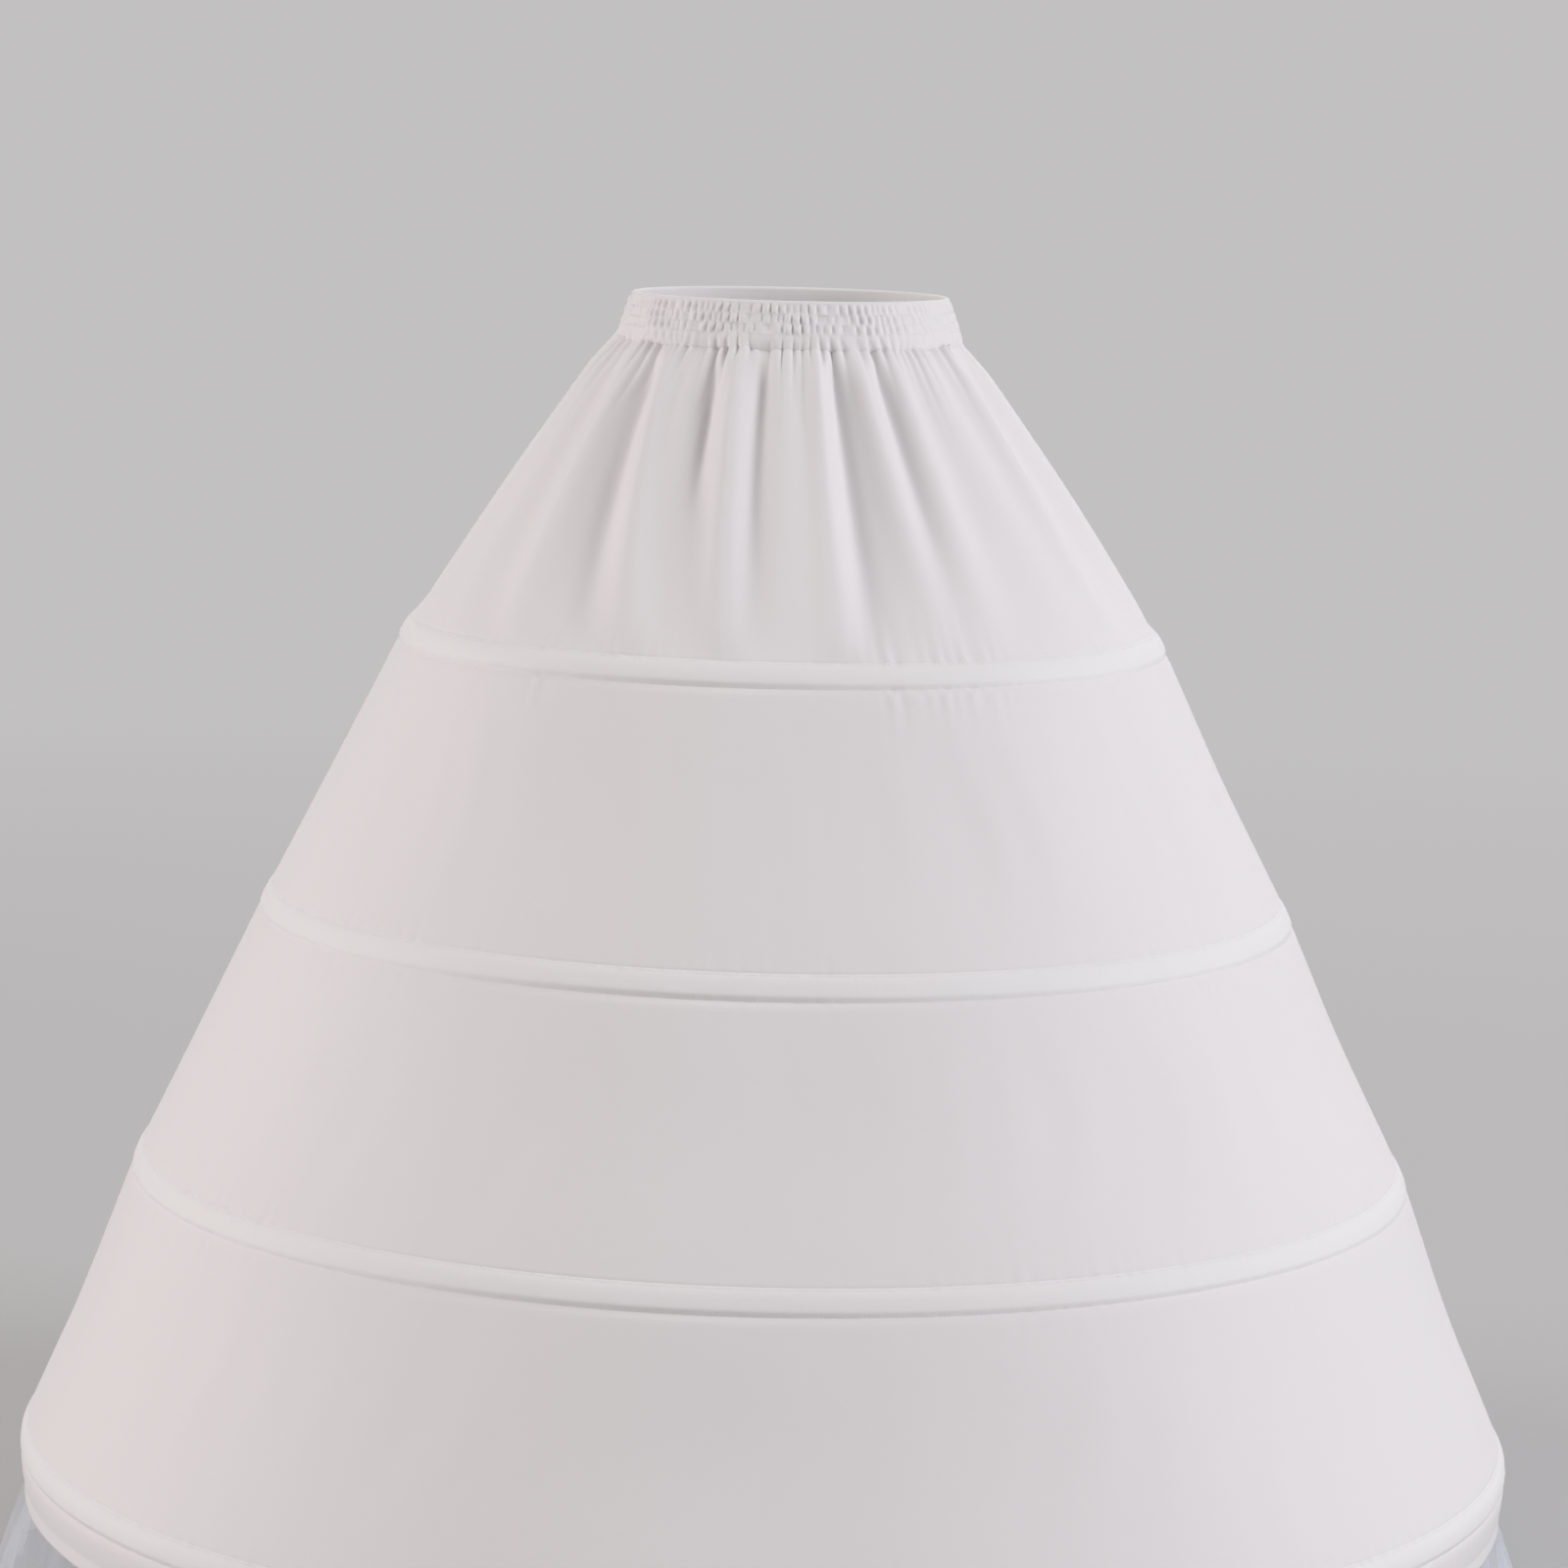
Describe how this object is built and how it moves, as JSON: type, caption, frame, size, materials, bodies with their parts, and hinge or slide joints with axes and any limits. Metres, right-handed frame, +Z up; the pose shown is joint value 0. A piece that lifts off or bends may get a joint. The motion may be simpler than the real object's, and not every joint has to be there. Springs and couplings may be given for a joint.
{
  "type": "hoop petticoat",
  "caption": "White hoop petticoat: tiered cloth cone held out by flat steel hoops in sewn casings, gathered under an elastic waistband, with a ruffled net flounce at the hem.",
  "frame": {"origin": "middle of the waist opening, level with the waistband's top edge", "axes": "+Z up along the waist opening, and the wearer faces -Y"},
  "size_m": [1.2658, 1.2636, 1.06],
  "materials": {
    "cloth": "plain woven white polyester",
    "casing_tape": "doubled white cloth tape",
    "elastic": "white woven elastic",
    "coated_steel": "white coating",
    "sleeve_plastic": "white plastic",
    "tulle": "stiff white net"
  },
  "bodies": {
    "root": {"waistband": "cloth", "waist_elastic": "elastic", "top_tier": "cloth", "second_tier": "cloth", "third_tier": "cloth", "bottom_tier": "cloth", "tulle_flounce": "tulle", "hoop_1": "coated_steel", "hoop_sleeve_1": "sleeve_plastic", "hoop_casing_1": "casing_tape", "hoop_2": "coated_steel", "hoop_sleeve_2": "sleeve_plastic", "hoop_casing_2": "casing_tape", "hoop_3": "coated_steel", "hoop_sleeve_3": "sleeve_plastic", "hoop_casing_3": "casing_tape", "hoop_4": "coated_steel", "hoop_sleeve_4": "sleeve_plastic", "hoop_casing_4": "casing_tape"}
  },
  "joints": []
}
